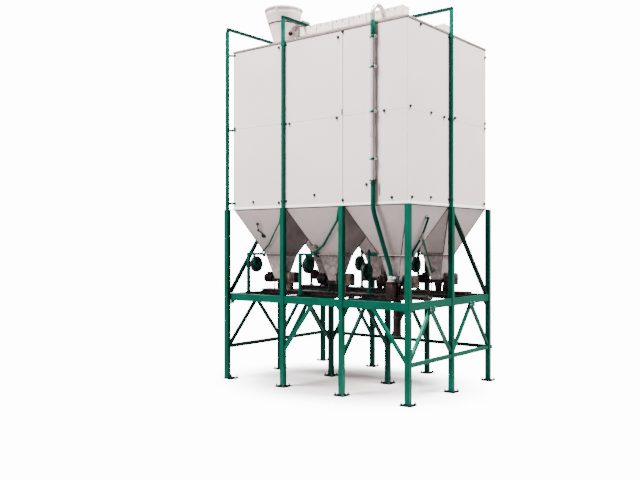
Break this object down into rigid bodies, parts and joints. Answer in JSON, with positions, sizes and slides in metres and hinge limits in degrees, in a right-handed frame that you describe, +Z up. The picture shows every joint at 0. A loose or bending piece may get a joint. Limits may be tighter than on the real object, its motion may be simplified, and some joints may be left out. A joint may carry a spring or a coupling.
{
  "type": "grain silo",
  "caption": "Rectangular sheet-metal grain silo with pyramid hoppers on a braced square-tube stand, with trough conveyors, outlet drives and roof filling gear.",
  "frame": {"origin": "centre of the stand's footprint at ground level", "axes": "+Z up, +X along the three-bay long side, +Y across, from the front with the riser pipe to the back"},
  "size_m": [3.79, 2.79, 6.44],
  "materials": {
    "green_paint": "satin enamel on steel tube",
    "sheet_paint": "satin light grey coat on sheet steel",
    "gear_steel": "dull zinc-coated steel",
    "dark_paint": "dark brown machinery paint"
  },
  "bodies": {
    "root": {"beam_back_1": "green_paint", "beam_back_2": "green_paint", "beam_back_3": "green_paint", "beam_front_1": "green_paint", "beam_front_2": "green_paint", "beam_front_3": "green_paint", "branch_pipe": "green_paint", "discharge_spout": "dark_paint", "down_pipe": "green_paint", "drive_back_1": "green_paint", "drive_back_2": "green_paint", "drive_back_3": "green_paint", "drive_front_1": "green_paint", "drive_front_2": "green_paint", "drive_front_3": "green_paint", "end_frame_left": "green_paint", "end_frame_right": "green_paint", "front_diagonal_1": "green_paint", "front_diagonal_2": "green_paint", "hopper_back_1": "sheet_paint", "hopper_back_2": "sheet_paint", "hopper_back_3": "sheet_paint", "hopper_front_1": "sheet_paint", "hopper_front_2": "sheet_paint", "hopper_front_3": "sheet_paint", "inner_frame_1": "green_paint", "inner_frame_2": "green_paint", "leg_back_1": "green_paint", "leg_back_2": "green_paint", "leg_back_3": "green_paint", "leg_back_4": "green_paint", "leg_front_1": "green_paint", "leg_front_2": "green_paint", "leg_front_3": "green_paint", "leg_front_4": "green_paint", "receiver_cone_back": "gear_steel", "receiver_cone_front": "gear_steel", "ring_beam_back": "green_paint", "riser_pipe": "gear_steel", "roof_conveyor_back": "gear_steel", "roof_conveyor_front": "gear_steel", "roof_deck": "sheet_paint", "roof_drive_back": "dark_paint", "roof_drive_front": "dark_paint", "stay_1": "green_paint", "stay_2": "green_paint", "top_beam_1": "green_paint", "top_beam_2": "green_paint", "top_ridge": "green_paint", "trough_back": "dark_paint", "trough_front": "dark_paint", "upper_strut_left": "green_paint", "upper_strut_right": "green_paint", "wall_back": "sheet_paint", "wall_front": "sheet_paint", "wall_left": "sheet_paint", "wall_right": "sheet_paint"}
  },
  "joints": []
}
